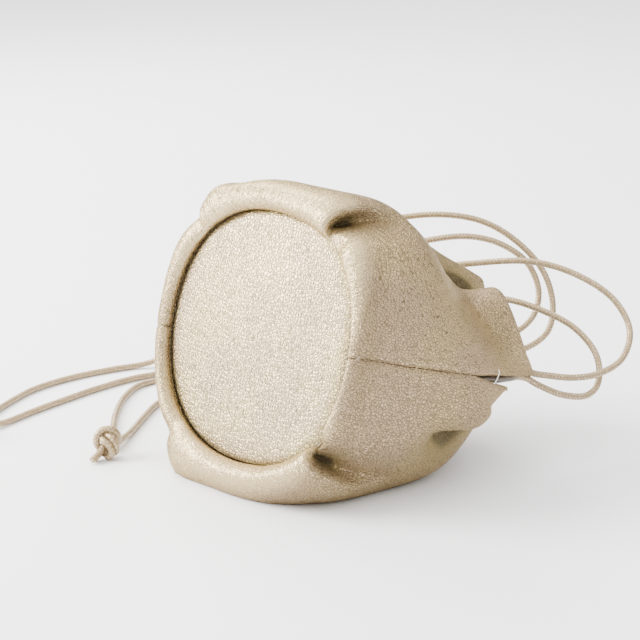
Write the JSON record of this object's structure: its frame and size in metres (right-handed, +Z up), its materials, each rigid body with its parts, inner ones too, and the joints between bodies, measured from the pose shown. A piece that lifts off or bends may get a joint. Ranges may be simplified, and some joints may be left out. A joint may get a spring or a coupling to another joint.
{
  "type": "drawstring bag",
  "caption": "Soft round-based leather drawstring pouch lying on its side, gathered open mouth with a cased cord through each panel and loose cord loops tied in overhand knots.",
  "frame": {"origin": "on the floor under the middle of the leather bag, cords left out", "axes": "+X from the base panel to the mouth, +Y to the far side, +Z up"},
  "size_m": [0.2866, 0.2843, 0.1464],
  "materials": {
    "body_leather": "metallic champagne-gold pebble grain, soft satin",
    "base_leather": "metallic champagne-gold pebble grain, paler and smoother where it is stretched flat",
    "cord": "fine round braided cord, waxed, champagne beige with light flecks"
  },
  "bodies": {
    "root": {"base_panel": "base_leather", "front_panel": "body_leather", "back_panel": "body_leather", "front_casing_cord": "cord", "back_casing_cord": "cord", "strand_a": "cord", "strand_b": "cord", "strand_c": "cord", "strand_d": "cord", "knot_near": "cord", "tail_near_left": "cord", "tail_near_right": "cord", "knot_far": "cord", "tail_far_left": "cord", "tail_far_right": "cord"}
  },
  "joints": []
}
